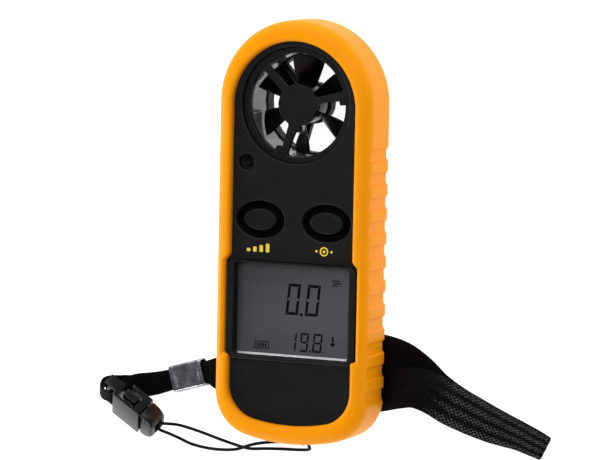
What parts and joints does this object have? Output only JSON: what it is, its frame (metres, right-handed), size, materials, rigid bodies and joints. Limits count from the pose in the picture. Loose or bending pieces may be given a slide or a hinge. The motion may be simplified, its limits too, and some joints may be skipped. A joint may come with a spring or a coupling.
{
  "type": "pocket weather meter",
  "caption": "Pocket weather meter: a vane fan in a round-topped rubber jacket, with two buttons, a display and a wrist strap on a thin cord.",
  "frame": {"origin": "on the table the meter lies on, under the middle of the jacket", "axes": "+Z out of the face, +Y towards the fan end, +X to the right of the face"},
  "size_m": [0.1201, 0.1104, 0.0164],
  "materials": {
    "orange_rubber": "satin",
    "charcoal_plastic": "fine texture",
    "black_plastic": "semi-gloss",
    "display": "clear over grey",
    "steel": "satin",
    "brass": "satin",
    "board": "solder mask",
    "webbing": "woven",
    "grey_rubber": "matt"
  },
  "bodies": {
    "meter": {"jacket": "orange_rubber", "front_case": "charcoal_plastic", "rear_case": "charcoal_plastic", "battery_door": "charcoal_plastic", "case_screw_1": "steel", "case_screw_2": "steel", "case_screw_3": "steel", "case_screw_4": "steel", "front_guard": "charcoal_plastic", "rear_guard": "charcoal_plastic", "fan_duct": "charcoal_plastic", "front_bearing": "brass", "rear_bearing": "brass", "sensor_tube": "charcoal_plastic", "thermistor": "black_plastic", "mode_switch": "steel", "set_switch": "steel", "lcd_window": "display", "lcd_panel": "display", "lcd_holder": "charcoal_plastic", "contact_strip_upper": "grey_rubber", "contact_strip_lower": "grey_rubber", "main_board": "board", "meter_chip": "black_plastic", "clock_crystal": "steel", "hall_sensor": "black_plastic", "buzzer": "black_plastic", "battery_cell": "steel", "battery_contact_minus": "brass", "battery_contact_plus": "brass", "cord_anchor_pin": "steel", "loop_cord": "webbing", "wrist_strap": "webbing", "strap_crimp": "steel", "buckle_socket": "black_plastic", "buckle_plug": "black_plastic"},
    "rotor": {"impeller": "black_plastic", "impeller_shaft": "steel", "rotor_magnet": "steel"},
    "mode_button": {"mode_key": "black_plastic"},
    "set_button": {"set_key": "black_plastic"},
    "arm_high": {"buckle_arm_high": "black_plastic"},
    "arm_low": {"buckle_arm_low": "black_plastic"}
  },
  "joints": [
    {"name": "impeller_spin", "type": "hinge", "parent": "meter", "child": "rotor", "pos_m": [0, 0.0316, 0.008], "axis": [0, 0, 1], "continuous": true},
    {"name": "mode_press", "type": "slide", "parent": "meter", "child": "mode_button", "axis": [0, 0, -1], "range_m": [0, 0.0005], "stiffness_N_per_m": 1000},
    {"name": "set_press", "type": "slide", "parent": "meter", "child": "set_button", "axis": [0, 0, -1], "range_m": [0, 0.0005], "stiffness_N_per_m": 1000},
    {"name": "arm_high_squeeze", "type": "hinge", "parent": "meter", "child": "arm_high", "pos_m": [-0.04264, -0.04819, 0.00779], "axis": [-0.3886, -0.6053, 0.6947], "range_deg": [0, 8], "stiffness_Nm_per_rad": 0.05},
    {"name": "arm_low_squeeze", "type": "hinge", "parent": "meter", "child": "arm_low", "pos_m": [-0.04482, -0.05158, 0.00361], "axis": [0.3886, 0.6053, -0.6947], "range_deg": [0, 8], "stiffness_Nm_per_rad": 0.05}
  ]
}
